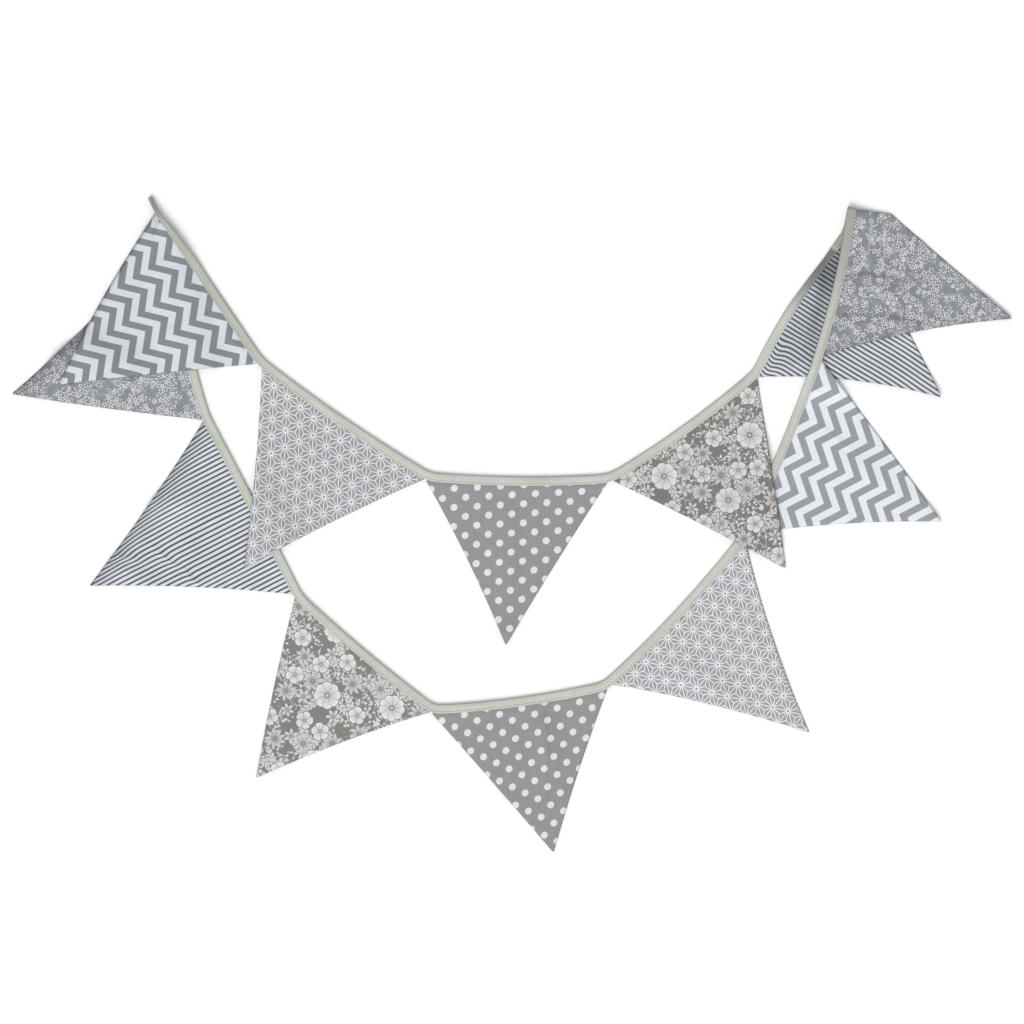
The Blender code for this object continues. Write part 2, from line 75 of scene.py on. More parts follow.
# start, end: where the flag's sides meet the tape, in string order.
# belly: how far the taped edge sags towards the tip; start_side and
# end_side: how far those two sides are drawn in halfway to the tip.
FLAGS = [Flag(*row) for row in (
    ("flag_01", "zigzag", 2, (-390.5, 341.0), (-280.0, 176.6), (-496.7, 153.5), 0.0, -4.4, 1.0),
    ("flag_02", "star", 2, (-273.4, 171.1), (-95.7, 50.1), (-293.2, -47.9), 3.3, 2.6, 3.0),
    ("flag_03", "dot", 2, (-93.0, 47.9), (104.6, 45.7), (-6.1, -132.0), 3.8, 3.2, 1.2),
    ("flag_04", "flower", 2, (112.8, 47.9), (269.5, 160.6), (300.9, -47.9), 4.4, 1.5, -0.6),
    ("flag_05", "stripe", 0, (271.7, 162.3), (370.7, 317.4), (471.4, 139.7), -5.5, 8.0, -4.4),
    ("flag_06", "sprig", 1, (374.0, 322.9), (341.6, 185.4), (549.5, 226.1), 5.0, 0.5, 6.5),
    ("flag_07", "zigzag", 1, (340.5, 179.3), (262.9, -8.8), (471.4, 3.9), 2.2, -1.0, 4.2),
    ("flag_08", "star", 1, (256.9, -18.7), (111.7, -174.9), (326.7, -227.7), 4.5, 5.2, 4.4),
    ("flag_09", "dot", 1, (104.5, -181.5), (-86.4, -207.4), (46.2, -359.2), 4.4, 2.0, 0.6),
    ("flag_10", "flower", 1, (-90.3, -205.4), (-237.6, -81.7), (-280.0, -277.2), 2.6, 3.2, -1.8),
    ("flag_11", "stripe", 1, (-240.4, -75.7), (-337.9, 113.3), (-462.6, -66.6), -0.6, 3.5, 2.8),
    ("flag_12", "sprig", 1, (-339.4, 115.5), (-385.6, 309.7), (-547.8, 143.6), 3.3, -1.5, 5.5),
)]
FOLDED_FLAG = "flag_06"

# The tape's two loose ends, along its flag side.
FIRST_END = (-398.4, 358.1)
LAST_END = (-390.2, 333.9)

# Columns: distance from the flag's start corner along the tape, width there.
NARROWINGS = {
    "flag_01": [(-25, 4.6), (4, 5.2), (30, 8.2), (70, 10)],
    "flag_05": [(80, 10), (107, 8.3), (148, 6.6), (184, 9.3)],
    "flag_06": [(0, 9.6), (12, 10)],
}

ZIGZAG_WIDE, ZIGZAG_TALL, ZIGZAG_RISE = 38.0, 19.6, 17.0
STAR_PITCH, STAR_ROW = 18.0, 15.588
STAR_RING = 1.95
DOT_WIDE, DOT_TALL = 25.2, 20.8
STRIPE_PITCH = 5.0

# One repeat of each print: its two steps, in the print's own millimetres.
REPEATS = {
    "zigzag": ((ZIGZAG_WIDE, 0.0), (0.0, ZIGZAG_TALL)),
    "star": ((STAR_PITCH, 0.0), (0.5 * STAR_PITCH, STAR_ROW)),
    "dot": ((DOT_WIDE, 0.0), (0.5 * DOT_WIDE, 0.5 * DOT_TALL)),
    "flower": ((1.0, 0.0), (0.0, 1.0)),
    "stripe": ((STRIPE_PITCH, 0.0), (0.0, STRIPE_PITCH)),
    "sprig": ((1.0, 0.0), (0.0, 1.0)),
}

# How light each flag is against its print's colours, and how far its ground
# has faded towards its ink.
TONES = {
    "flag_01": (0.90, 0.0), "flag_02": (0.98, 0.0), "flag_03": (1.03, 0.0),
    "flag_04": (0.93, 0.01), "flag_05": (0.99, 0.0), "flag_06": (0.98, 0.0),
    "flag_07": (1.04, 0.09), "flag_08": (1.03, 0.02), "flag_09": (1.03, 0.0),
    "flag_10": (1.00, 0.03), "flag_11": (1.02, 0.0), "flag_12": (1.01, 0.01),
}

# How each print lies on its flag: a point of the repeat and its two steps,
# in millimetres along the taped edge from its start and towards the tip.
LAYOUTS = {
    "flag_01": ((66.0, 17.55), (37.71, -1.395), (-0.853, 19.85)),
    "flag_02": ((68.57, 27.11), (18.75, 1.71), (9.73, 15.79)),
    "flag_03": ((119.12, 54.1), (25.43, -1.59), (12.64, 9.67)),
    "flag_04": ((30.0, 0.0), (0.985, 0.174), (-0.174, 0.985)),
    "flag_05": ((49.3, 5.0), (4.81, 0.0), (0.0, 5.0)),
    "flag_06": ((0.0, 0.0), (1.0, 0.0), (0.0, 1.0)),
    "flag_07": ((83.97, 29.21), (39.73, 0.397), (-0.215, 19.54)),
    "flag_08": ((82.89, 7.25), (17.54, 0.40), (9.15, 15.46)),
    "flag_09": ((80.15, 55.35), (25.21, 3.43), (12.2, 11.8)),
    "flag_10": ((70.0, 40.0), (0.966, -0.259), (0.259, 0.966)),
    "flag_11": ((66.0, 20.0), (5.13, 0.0), (0.0, 5.0)),
    "flag_12": ((130.0, 60.0), (0.985, 0.174), (-0.174, 0.985)),
}
# The folded flag's start corner where its seen face would carry on to it.
SEEN_START = (361.0, 350.0)

TILE = 104.0          # the flower print repeats over this far each way
IN_TURN = 1e-6        # ties each motif to the last, so they are worked out in turn

# Columns: place, heading in degrees, length, leaflet length, bow.
SPRAYS = [
    (22, 24, 80, 36, 9.5, 0.16),
    (22, 24, 200, 35, 9.5, -0.14),
    (22, 24, -38, 36, 9, 0.12),
    (74, 78, 150, 38, 9.5, 0.15),
    (74, 78, 18, 36, 9, -0.16),
    (74, 78, -72, 35, 9, 0.12),
    (60, 40, -102, 29, 8.5, 0.10),
    (98, 50, 118, 29, 8.5, -0.12),
    (14, 62, 146, 30, 9, 0.14),
    (40, 92, 58, 29, 9, -0.12),
    (88, 14, -22, 29, 8.5, 0.12),
]

# Kinds of bloom: depth of the notches between petals, how blunt the petals
# are, how dark their midribs are. Columns of the blooms: place, turn in
# degrees, radius, petals.
LEAFY = (0.55, 0.9, 0.75)
SMALL = (0.74, 1.3, 0.3)
OPEN = (0.26, 3.0, 0.06)
FULL = (0.12, 2.0, 0.05)
BLOOMS = {
    LEAFY: [(44, 28, 20, 12.5, 9), (79, 50, 35, 13, 9), (98, 76, 70, 12, 8), (52, 58, 10, 12, 9),
            (16, 98, 48, 12.5, 9), (71, 20, 0, 11, 8)],
    SMALL: [(36, 46, 40, 8.6, 6), (8, 82, 5, 8.4, 6), (56, 98, 25, 8, 6), (34, 69, 50, 7.6, 6),
            (103, 32, 33, 8.2, 6)],
    OPEN: [(54, 10, 10, 9.7, 5), (61, 40, 44, 9.9, 5), (14, 60, 20, 9.5, 5), (98, 53, 62, 9.7, 5),
           (39, 89, 30, 9.3, 5), (89, 10, 8, 9.5, 5)],
    FULL: [(22, 24, 15, 14.8, 8), (74, 78, 40, 14.2, 9)],
}

# Narrow creases in the cloth. Columns: place along the taped edge and towards
# the tip, heading in degrees, half length, half width, height.
CREASES = {
    "flag_01": [(60, 60, 74, 45, 3, 0.7), (118, 45, 96, 30, 3, 0.45)],
    "flag_02": [(84, 34, 80, 26, 5, -0.6), (140, 30, 110, 30, 3, 0.4)],
    "flag_03": [(118, 34, 84, 34, 3.5, 0.45), (62, 50, 70, 36, 3, 0.4)],
    "flag_04": [(90, 36, 84, 30, 5, -0.5)],
    "flag_05": [(14, 10, 62, 16, 3, 0.8), (30, 20, 48, 22, 2.6, 0.7)],
    "flag_06": [(74, 48, 90, 50, 1.8, 1.5), (117, 44, 92, 42, 1.8, 1.5), (40, 100, 24, 40, 4, 0.6)],
    "flag_07": [(70, 40, 78, 34, 3.4, 0.45)],
    "flag_08": [(160, 46, 118, 24, 4, 0.7), (96, 90, 84, 46, 3.5, 0.4)],
    "flag_09": [(75, 66, 83.6, 62, 1.8, 0.8), (90.5, 118, 97, 14, 1.4, 0.5)],
    "flag_10": [(120, 40, 88, 34, 5, -0.5)],
    "flag_11": [(98, 103, 20, 18, 2.4, 0.7), (67, 88, 15, 16, 2.4, 0.6), (120, 146, 60, 22, 3, 0.7),
                (168, 60, 118, 52, 3, 0.8)],
    "flag_12": [(60, 66, 86, 48, 3, 0.5)],
}

# Where a striped print is pulled aside. Columns as for the creases, with the
# pull along the taped edge in place of the height.
PULLS = {
    "flag_05": [(18, 2, 0, 30, 8, 4.5), (56, 24, 70, 22, 10, -1.2), (60, 120, 0, 80, 34, -1.6),
                (24, 96, 70, 20, 6, 1.6)],
    "flag_11": [(163, 98, 117.5, 104, 13, 7), (98, 103, 20, 16, 5, 1.2), (120, 146, 60, 20, 6, 1.8),
                (67, 88, 15, 14, 5, 1), (120, 60, 100, 40, 14, -1.4), (60, 60, 85, 34, 12, 1.2)],
}

# Cloth in the lee of a fold, darker. Columns as for the creases, with the
# share of light that is lost in place of the height.
LEES = {
    "flag_01": [(12, 6, 60, 14, 3, 0.22)],
    "flag_05": [(105, 10.5, -24.3, 62, 8, 0.22), (158, 10, 0, 38, 32, 0.42),
                (100, 14, 0, 78, 34, 0.20)],
    "flag_06": [(74, 48, 90, 50, 2.4, 0.24), (117, 44, 92, 60, 2.6, 0.28),
                (40, 100, 24, 40, 4, 0.08)],
    "flag_09": [(75, 66, 83.6, 62, 1.8, 0.08)],
    "flag_11": [(98, 103, 20, 14, 1.6, 0.14), (67, 88, 15, 12, 1.6, 0.14)],
    "flag_12": [(60, 180, 112, 22, 5, 0.16)],
}

# Sides that roll away from the light. Columns: the side from the start corner
# (0) or the end corner (1), how far the shade reaches, its depth.
ROLLED_SIDES = {
    "flag_01": [(0, 2.4, 0.46)],
    "flag_05": [(0, 3, 0.12)],
    "flag_06": [(1, 3.6, 0.16)],
    "flag_11": [(1, 3, 0.20), (1, 15, 0.22)],
    "flag_12": [(1, 9, 0.44)],
}

# The studio: an even fill, and a wide soft key from the photograph's lower left.
FILL = 0.61
KEY = 0.44
KEY_FROM = (-1.1, -2.6, 2.6)
KEY_SOFTNESS = 38.0
LENS = 250.0
SENSOR = 36.0
FAR = 50.0
VIEW_WIDTH = 1.1226   # metres across the picture
EYE = (-0.0002, 0.0126)
FLOOR_REACH = 6.0
FLOOR_LEVEL = -0.0004
PAPER_DEEP = (0.965, 0.965, 0.968, 1.0)
PAPER_PALE = (0.985, 0.985, 0.985, 1.0)

# Screen colours of the cloths under that light.
LIGHT = FILL + KEY
PRINTS = {
    "zigzag": ((142, 149, 155), (232, 234, 240)),
    "star": ((163, 164, 167), (250, 251, 254)),
    "dot": ((149, 152, 151), (227, 228, 230)),
    "flower": ((133, 130, 127), (238, 236, 237)),
    "stripe": ((88, 94, 101), (222, 226, 231)),
    "sprig": ((139, 142, 146), (242, 244, 248)),
}
SAGE_DEEP = (190, 195, 184)
SAGE_PALE = (213, 216, 208)
THREAD_DEEP = (158, 164, 152)
THREAD_PALE = (204, 208, 198)
THREAD = 0.42         # from one thread of the cloth to the next
STITCH_PITCH = 2.6
STITCH_LENGTH = 2.1
STITCH_RADIUS = 0.2
STITCH_RISE = 1.14    # above and below the tape's middle
STITCH_SINK = 0.1     # how far its ends sink into the cloth
STITCH_SIDES = 6
STITCH_START = 2.0    # the first and last stitch from the tape's ends
# A stitch's thickness along its length, both as shares of the half.
STITCH_PROFILE = ((-1.0, 0.0), (-0.86, 0.62), (-0.5, 1.0), (0.5, 1.0), (0.86, 0.62), (1.0, 0.0))
STITCH_AT = 2.2       # the stitching's distance from the tape's flag side
STITCHED_SIDE = 3.0   # the print keeps its distance from the flag side up to here
SEAM_WIDTH = 6.0

# Darker lengths of the tape: its loose end and its first length; and painted
# shade under the returning tape up to the fold and coming back from it.
# Columns: where along the tape the darkening comes, where it goes again, its depth.
TAPE_DIMS = [
    ((-1.0, 0.0), (30.0, 14.0), 0.26),
    ((-1.0, 0.0), (260.0, 170.0), 0.16),
    ((908.0, 985.0), (1012.0, 1006.0), 0.66),
    ((1008.0, 1014.0), (1270.0, 1010.0), 0.38),
]


def unit(vector):
    """The vector at length one."""
    return vector / np.linalg.norm(vector)


def left_of(direction):
    """The direction a quarter turn to the left."""
    return np.array((-direction[1], direction[0]))


def unfold(place):
    """Where points of the returning swag lay before the fold, or the other way."""
    place = np.asarray(place, float)
    behind = (place - CREASE_AT) @ CREASE_BEYOND
    return place + (math.pi * BEND - 2.0 * behind)[..., None] * CREASE_BEYOND


def fold_over(flat):
    """Places and turning angles of points of the unfolded string."""
    out = flat - CREASE_AT
    along = out @ CREASE_ALONG
    beyond = out @ CREASE_BEYOND
    turn = np.clip(beyond / BEND, 0.0, math.pi)
    reach = np.where(beyond < 0.0, beyond, BEND * np.sin(turn))
    reach = np.where(turn >= math.pi, math.pi * BEND - beyond, reach)
    place = CREASE_AT + np.outer(along, CREASE_ALONG) + np.outer(reach, CREASE_BEYOND)
    return place, turn


def bending(turn):
    """Which points lie in the bend of the fold."""
    return (turn > 0.0) & (turn < math.pi)


def up_directions(turn):
    """The cloth's upward directions at turning angles of the fold."""
    return np.column_stack((np.outer(-np.sin(turn), CREASE_BEYOND), np.cos(turn)))


def flat_corners(flag):
    """Start, end and tip of a flag on the unfolded string."""
    start, end, tip = (np.array(corner) for corner in (flag.start, flag.end, flag.tip))
    if flag.layer != 1:
        return start, end, tip
    if flag.name != FOLDED_FLAG:
        start = unfold(start)
    return start, unfold(end), unfold(tip)


def inward(first, second, inside):
    """Unit normal of a side, towards the flag's inside."""
    normal = left_of(unit(second - first))
    return normal if (inside - first) @ normal > 0.0 else -normal


def flag_points(flag, to_end, to_tip):
    """Points of a flag from their shares towards the end corner and the tip."""
    start, end, tip = flat_corners(flag)
    to_end = np.asarray(to_end, float)
    to_tip = np.asarray(to_tip, float)
    to_start = 1.0 - to_end - to_tip
    points = np.outer(to_start, start) + np.outer(to_end, end) + np.outer(to_tip, tip)
    points += 4.0 * flag.belly * np.outer(to_start * to_end, inward(start, end, tip))
    points += 4.0 * flag.start_side * np.outer(to_start * to_tip, inward(start, tip, end))
    return points + 4.0 * flag.end_side * np.outer(to_end * to_tip, inward(end, tip, start))


def smooth_share(value):
    """A share from nought to one with soft ends."""
    value = np.clip(value, 0.0, 1.0)
    return value * value * (3.0 - 2.0 * value)


def bell(sigma):
    """The weights of a blur and how far they reach."""
    reach = int(3.0 * sigma) + 1
    weights = np.exp(-0.5 * (np.arange(-reach, reach + 1) / sigma) ** 2)
    return weights / weights.sum(), reach


def soften(values, sigma):
    """Rows of values blurred along the first axis, their ends kept."""
    weights, reach = bell(sigma)
    values = np.asarray(values, float)
    first = 2.0 * values[0] - values[reach:0:-1]
    last = 2.0 * values[-1] - values[-2:-reach - 2:-1]
    padded = np.concatenate((first, values, last))
    columns = padded.reshape(len(padded), -1).T
    out = np.array([np.convolve(column, weights, "valid") for column in columns]).T
    return out.reshape(values.shape)


class Surface:
    """Ray tests on one of the part's nodes, in the tables' millimetres."""

    def __init__(self, node):
        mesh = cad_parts[node].data
        corners = [vertex.co[:] for vertex in mesh.vertices]
        self.tree = BVHTree.FromPolygons(corners, [face.vertices[:] for face in mesh.polygons])

    def level(self, place, above=True):
        """Height of the surface met from above or from below, or nan."""
        x, y = (place + SHIFT) / METRE
        start = Vector((x, y, 0.1 if above else -0.1))
        hit = self.tree.ray_cast(start, Vector((0.0, 0.0, -1.0 if above else 1.0)))[0]
        return math.nan if hit is None else hit.z * METRE


class HeightMap:
    """The height of a node's face, blurred and carried on past its rim."""

    CELL = 2.0
    MARGIN = 16.0
    BLURS = (1.6, 3.0, 6.0, 12.0)   # in cells; the wider fill what the others leave
    ENOUGH = 0.08                   # the share of known cells that a height needs
    TINY = 1e-9

    def __init__(self, surface, places, above, offset):
        self.low = places.min(axis=0) - self.MARGIN
        count = np.ceil((places.max(axis=0) + self.MARGIN - self.low) / self.CELL).astype(int) + 1
        heights = np.full((count[1], count[0]), np.nan)
        for row, column in np.ndindex(*heights.shape):
            place = self.low + np.array((column, row)) * self.CELL
            heights[row, column] = surface.level(place, above)
        known = ~np.isnan(heights)
        heights = np.where(known, heights + offset, 0.0)
        self.heights = np.full(heights.shape, np.nan)
        for sigma in self.BLURS:
            weight = self.blurred(known.astype(float), sigma)
            level = self.blurred(heights, sigma) / np.maximum(weight, self.TINY)
            usable = np.isnan(self.heights) & (weight > self.ENOUGH)
            self.heights[usable] = level[usable]
        self.heights[np.isnan(self.heights)] = heights[known].mean()

    @staticmethod
    def blurred(grid, sigma):
        """A grid blurred both ways, with nothing beyond its rim."""
        weights, reach = bell(sigma)
        for _ in range(2):
            padded = np.pad(grid, ((reach, reach), (0, 0)))
            rows = grid.shape[0]
            grid = sum(weight * padded[down:down + rows] for down, weight in enumerate(weights))
            grid = grid.T
        return grid

    def at(self, places):
        """Heights at places."""
        spot = (places - self.low) / self.CELL
        column = np.clip(np.floor(spot[:, 0]).astype(int), 0, self.heights.shape[1] - 2)
        row = np.clip(np.floor(spot[:, 1]).astype(int), 0, self.heights.shape[0] - 2)
        right = np.clip(spot[:, 0] - column, 0.0, 1.0)
        up = np.clip(spot[:, 1] - row, 0.0, 1.0)
        grid = self.heights
        below = grid[row, column] * (1.0 - right) + grid[row, column + 1] * right
        above = grid[row + 1, column] * (1.0 - right) + grid[row + 1, column + 1] * right
        return below * (1.0 - up) + above * up


class Tape:
    """The binding tape as closely spaced cross-sections."""

    SPACING = 1.5
    SOFTNESS = 5.0        # of its bends, in cross-sections
    EASE = 4.0            # of its width and height
    FIRST_STEPS = 12
    FLAG_STEPS = 90
    LAST_STEPS = 14

    def __init__(self):
        first = np.array(FIRST_END)
        start = np.array(FLAGS[0].start)
        shares = np.linspace(0.0, 1.0, self.FIRST_STEPS)[:-1]
        reach = (shares - 1.0) * np.linalg.norm(start - first)
        parts = [(FLAGS[0], first + np.outer(shares, start - first), reach)]
        for flag in FLAGS:
            shares = np.linspace(0.0, 1.0, self.FLAG_STEPS)
            points = flag_points(flag, shares, np.zeros(self.FLAG_STEPS))
            steps = np.linalg.norm(np.diff(points, axis=0), axis=1)
            reach = np.concatenate(((0.0,), np.cumsum(steps)))
            parts.append((flag, points, reach))
        shares = np.linspace(0.0, 1.0, self.LAST_STEPS)[1:]
        loose = points[-1] + np.outer(shares, unfold(LAST_END) - points[-1])
        parts.append((flag, loose, np.full(len(loose), reach[-1])))
        flat = np.vstack([points for _, points, _ in parts])
        flags = [flag for flag, points, _ in parts for _ in points]
        widths = np.concatenate([self.table_widths(flag, reach) for flag, _, reach in parts])
        run = np.concatenate(((0.0,), np.cumsum(np.linalg.norm(np.diff(flat, axis=0), axis=1))))
        count = int(run[-1] / self.SPACING) + 1
        self.run = np.linspace(0.0, run[-1], count)
        even = np.column_stack([np.interp(self.run, run, column) for column in flat.T])
        self.flat = soften(even, self.SOFTNESS)
        self.width = soften(np.interp(self.run, run, widths), self.EASE)
        nearest = np.searchsorted(run, self.run).clip(0, len(run) - 1)
        self.flags = [flags[place] for place in nearest]
        tangent = np.gradient(self.flat, axis=0)
        square = np.column_stack((-tangent[:, 1], tangent[:, 0]))
        square /= np.linalg.norm(square, axis=1)[:, None]
        near = np.abs((self.flat - CREASE_AT) @ CREASE_BEYOND) / CREASE_ZONE
        share = np.clip(2.0 - near, 0.0, 1.0)[:, None]
        self.across = (1.0 - share) * square - share * CREASE_ALONG
        self.across /= np.linalg.norm(self.across, axis=1)[:, None]
        self.height = self.find_heights(Surface("tape"))

    @staticmethod
    def table_widths(flag, distances):
        """The tape's width at distances along a flag."""
        return np.interp(distances, *zip(*NARROWINGS.get(flag.name, [(0, TAPE_WIDTH)])))

    def find_heights(self, surface):
        """Heights of the tape's middle, read from the part."""
        centre = self.flat + 0.5 * self.width[:, None] * self.across
        place, turn = fold_over(centre)
        heights = np.full(len(centre), np.nan)
        bent = bending(turn)
        for spot in np.flatnonzero(~bent):
            flag = self.flags[spot]
            if flag.layer == 0 or (flag.name == FOLDED_FLAG and turn[spot] <= 0.0):
                heights[spot] = TAPE_HALF
            elif flag.layer == 1 and place[spot][0] < 0.0:
                heights[spot] = surface.level(place[spot], False) + TAPE_HALF
            else:
                heights[spot] = surface.level(place[spot]) - TAPE_HALF
        known = ~np.isnan(heights)
        returning = turn >= math.pi
        crease = heights[np.flatnonzero(known & returning)[0]]
        heights = np.interp(self.run, self.run[known], heights[known])
        for part in (turn <= 0.0, returning):
            heights[part] = soften(heights[part], self.EASE)
        heights[bent] = TAPE_HALF + (crease - TAPE_HALF) * 0.5 * (1.0 - np.cos(turn[bent]))
        return heights

    def nearest(self, flat):
        """The nearest cross-section to each point of the unfolded string."""
        return np.array([np.argmin(((self.flat - point) ** 2).sum(axis=1)) for point in flat])

    def placed(self, spots, across, rise):
        """Laid points at distances from the flag side and above the middle."""
        flat = self.flat[spots] + np.asarray(across)[:, None] * self.across[spots]
        place, turn = fold_over(flat)
        rise = np.asarray(rise)
        place = place - (rise * np.sin(turn))[:, None] * CREASE_BEYOND
        return np.column_stack((place, self.height[spots] + rise * np.cos(turn)))


def new_object(name, data):
    """An object in the scene."""
    found = bpy.data.objects.new(name, data)
    bpy.context.scene.collection.objects.link(found)
    return found


def new_piece(name, points, faces, material, maps):
    """A smooth mesh that rides on the part; maps are its named UV maps."""
    mesh = bpy.data.meshes.new(name)
    moved = (np.asarray(points) + (SHIFT[0], SHIFT[1], 0.0)) / METRE
    mesh.from_pydata(moved.tolist(), [], faces)
    corners = np.empty(len(mesh.loops), np.int32)
    mesh.loops.foreach_get("vertex_index", corners)
    for label, values in maps.items():
        layer = mesh.uv_layers.new(name=label)
        layer.data.foreach_set("uv", np.asarray(values)[corners].astype(np.float32).ravel())
    mesh.materials.append(material)
    mesh.shade_smooth()
    mesh.update()
    piece = new_object(name, mesh)
    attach(piece, "root")
    return piece


def side_distance(flat, first, second, inside, sag):
    """Distance of points from one side of a flag, which sags inwards."""
    way = second - first
    share = (flat - first) @ way / (way @ way)
    curve = 4.0 * sag * np.clip(share * (1.0 - share), 0.0, 1.0)
    return (flat - first) @ inward(first, second, inside) - curve


def below_tape(flag, flat):
    """Distance of points of a flag from its taped edge."""
    start, end, tip = flat_corners(flag)
    return np.maximum(side_distance(flat, start, end, tip, flag.belly), 0.0)


def flag_grid(flag):
    """Flat points of a flag below the tape, its triangles and its rim."""
    start, end, _ = flat_corners(flag)
    blunt = 1.0 - TIP / float(np.linalg.norm(end - start))
    to_end, to_tip, rows = [], [], []
    for row in range(ROWS):
        share = blunt * row / (ROWS - 1)
        spots = ROWS - row
        rows.append(list(range(len(to_tip), len(to_tip) + spots + 1)))
        to_end.extend((1.0 - share) * np.arange(spots + 1) / spots)
        to_tip.extend([share] * (spots + 1))
    faces = []
    for upper, lower in zip(rows, rows[1:]):
        faces.extend(zip(upper, lower, upper[1:]))
        faces.extend(zip(lower, lower[1:], upper[1:]))
    rim = [row[0] for row in rows] + [row[-1] for row in rows] + rows[-1]
    return flag_points(flag, to_end, to_tip), faces, rows[0], sorted(set(rim))


def flag_heights(flag, surface, flat):
    """Heights of a flag's middle, read from the part, and turning angles."""
    place, turn = fold_over(flat)
    over = HeightMap(surface, place, True, -HALF_SOLID)
    heights = over.at(place)
    if flag.name == FOLDED_FLAG:
        low = turn <= 0.0
        under = HeightMap(surface, place[low], False, HALF_SOLID)
        foot = CREASE_AT + np.outer((flat - CREASE_AT) @ CREASE_ALONG, CREASE_ALONG)
        inside = foot - FOOT_INSET * CREASE_BEYOND
        bottom = under.at(inside)
        top = over.at(inside)
        bent = bottom + (top - bottom) * 0.5 * (1.0 - np.cos(turn))
        heights = np.where(low, under.at(place), np.where(turn >= math.pi, heights, bent))
    return place, turn, heights


def closed_sheet(middle, up, half, faces):
    """Points and faces of a closed sheet round its middle."""
    top = middle + half[:, None] * up
    bottom = middle - half[:, None] * up
    count = len(middle)
    solid = faces + [tuple(count + corner for corner in reversed(face)) for face in faces]
    directed = {side for face in faces for side in zip(face, face[1:] + face[:1])}
    for here, there in sorted(directed):
        if (there, here) not in directed:
            solid.append((here, here + count, there + count, there))
    return np.vstack((top, bottom)), solid


def print_places(flag, flat):
    """Where points of a flag lie in its print."""
    local = local_places(flag, flat)
    at, first, second = LAYOUTS[flag.name]
    steps = np.column_stack((first, second))
    repeat = np.column_stack(REPEATS[flag.cloth])
    places = (local - at) @ np.linalg.inv(steps).T @ repeat.T
    places[:, 0] += ridges(PULLS, flag, local)
    return places


def local_places(flag, flat):
    """Places of a flag's points along its taped edge and towards its tip."""
    laid = unfold(flat) if flag.layer == 1 else flat
    start = np.array(SEEN_START if flag.name == FOLDED_FLAG else flag.start)
    along = unit(np.array(flag.end) - start)
    down = inward(start, np.array(flag.end), np.array(flag.tip))
    out = laid - start
    return np.column_stack((out @ along, out @ down))


def ridges(table, flag, local):
    """The sum of a table's ridges at places of a flag."""
    height = np.zeros(len(local))
    for u, v, heading, half_length, half_width, rise in table.get(flag.name, ()):
        angle = math.radians(heading)
        out = local - (u, v)
        along = out[:, 0] * math.cos(angle) + out[:, 1] * math.sin(angle)
        aside = out[:, 1] * math.cos(angle) - out[:, 0] * math.sin(angle)
        aside = aside + WANDER * np.sin(along / WANDER_LENGTH + u)
        height += rise * np.exp(-(along / half_length) ** 4 - (aside / half_width) ** 2)
    return height


def side_distances(flag, flat):
    """Distances of points from the flag's two free sides."""
    start, end, tip = flat_corners(flag)
    return np.column_stack((side_distance(flat, start, tip, end, flag.start_side),
                            side_distance(flat, end, tip, start, flag.end_side)))


def lee_light(flag, flat, sides):
    """The share of light left in the lee of folds and on rolled sides."""
    light = 1.0 - ridges(LEES, flag, local_places(flag, flat))
    for side, reach, depth in ROLLED_SIDES.get(flag.name, ()):
        light *= 1.0 - depth * np.exp(-(np.maximum(sides[:, side], 0.0) / reach) ** 2)
    return light


def make_flag(flag, tape, material):
    """One double flag, its top edge tucked into the tape."""
    flat, faces, edge, rim = flag_grid(flag)
    place, turn, heights = flag_heights(flag, Surface(flag.name), flat)
    distance = below_tape(flag, flat)
    creases = ridges(CREASES, flag, local_places(flag, flat)) * smooth_share(distance / FALL)
    if flag.name == FOLDED_FLAG:
        creases[turn <= 0.0] = 0.0
    heights += creases
    near = np.flatnonzero(distance < FALL)
    share = smooth_share(distance[near] / FALL)
    spots = tape.nearest(flat[near])
    heights[near] = tape.height[spots] * (1.0 - share) + heights[near] * share
    half = np.full(len(flat), 0.5 * CLOTH)
    half[rim] = 0.5 * RIM_CLOTH
    near_tape = distance < PRESSED
    half[near_tape] = np.minimum(half[near_tape], 0.5 * TUCKED_CLOTH)
    half[near_tape & bending(turn)] = 0.5 * BENT_CLOTH
    heights = np.maximum(heights, half)
    middle = np.column_stack((place, heights))
    spots = tape.nearest(flat[edge])
    above = edge
    for step in TUCK_ROWS:
        reach = step * np.minimum(TUCK, tape.width[spots] - TUCK_END)
        tucked = flat[edge] + reach[:, None] * tape.across[spots]
        tucked_place, tucked_turn = fold_over(tucked)
        first = len(middle)
        middle = np.vstack((middle, np.column_stack((tucked_place, tape.height[spots]))))
        thickness = np.where(bending(tucked_turn), BENT_CLOTH, TUCKED_CLOTH)
        half = np.concatenate((half, 0.5 * thickness))
        turn = np.concatenate((turn, tucked_turn))
        flat = np.vstack((flat, tucked))
        row = list(range(first, first + len(edge)))
        faces.extend(zip(row, above, above[1:]))
        faces.extend(zip(row, above[1:], row[1:]))
        above = row
    points, solid = closed_sheet(middle, up_directions(turn), half, faces)
    places = print_places(flag, flat)
    sides = side_distances(flag, flat)
    seams = np.column_stack((np.clip(sides.min(axis=1), 0.0, 30.0), below_tape(flag, flat)))
    tones_with_painted_shade = np.tile(TONES[flag.name], (len(flat), 1))
    # Painted shade: the lee of folds and the rolled sides darken the cloth's colour through this
    # map, which also carries each flag's lightness and fade.
    tones_with_painted_shade[:, 0] *= lee_light(flag, flat, sides)
    maps = {"print": places, "seam": seams, "tone_with_painted_shade": tones_with_painted_shade}
    maps = {label: np.vstack((values, values)) for label, values in maps.items()}
    piece = new_piece(flag.name + "_cloth", points, solid, material, maps)
    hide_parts(flag.name)


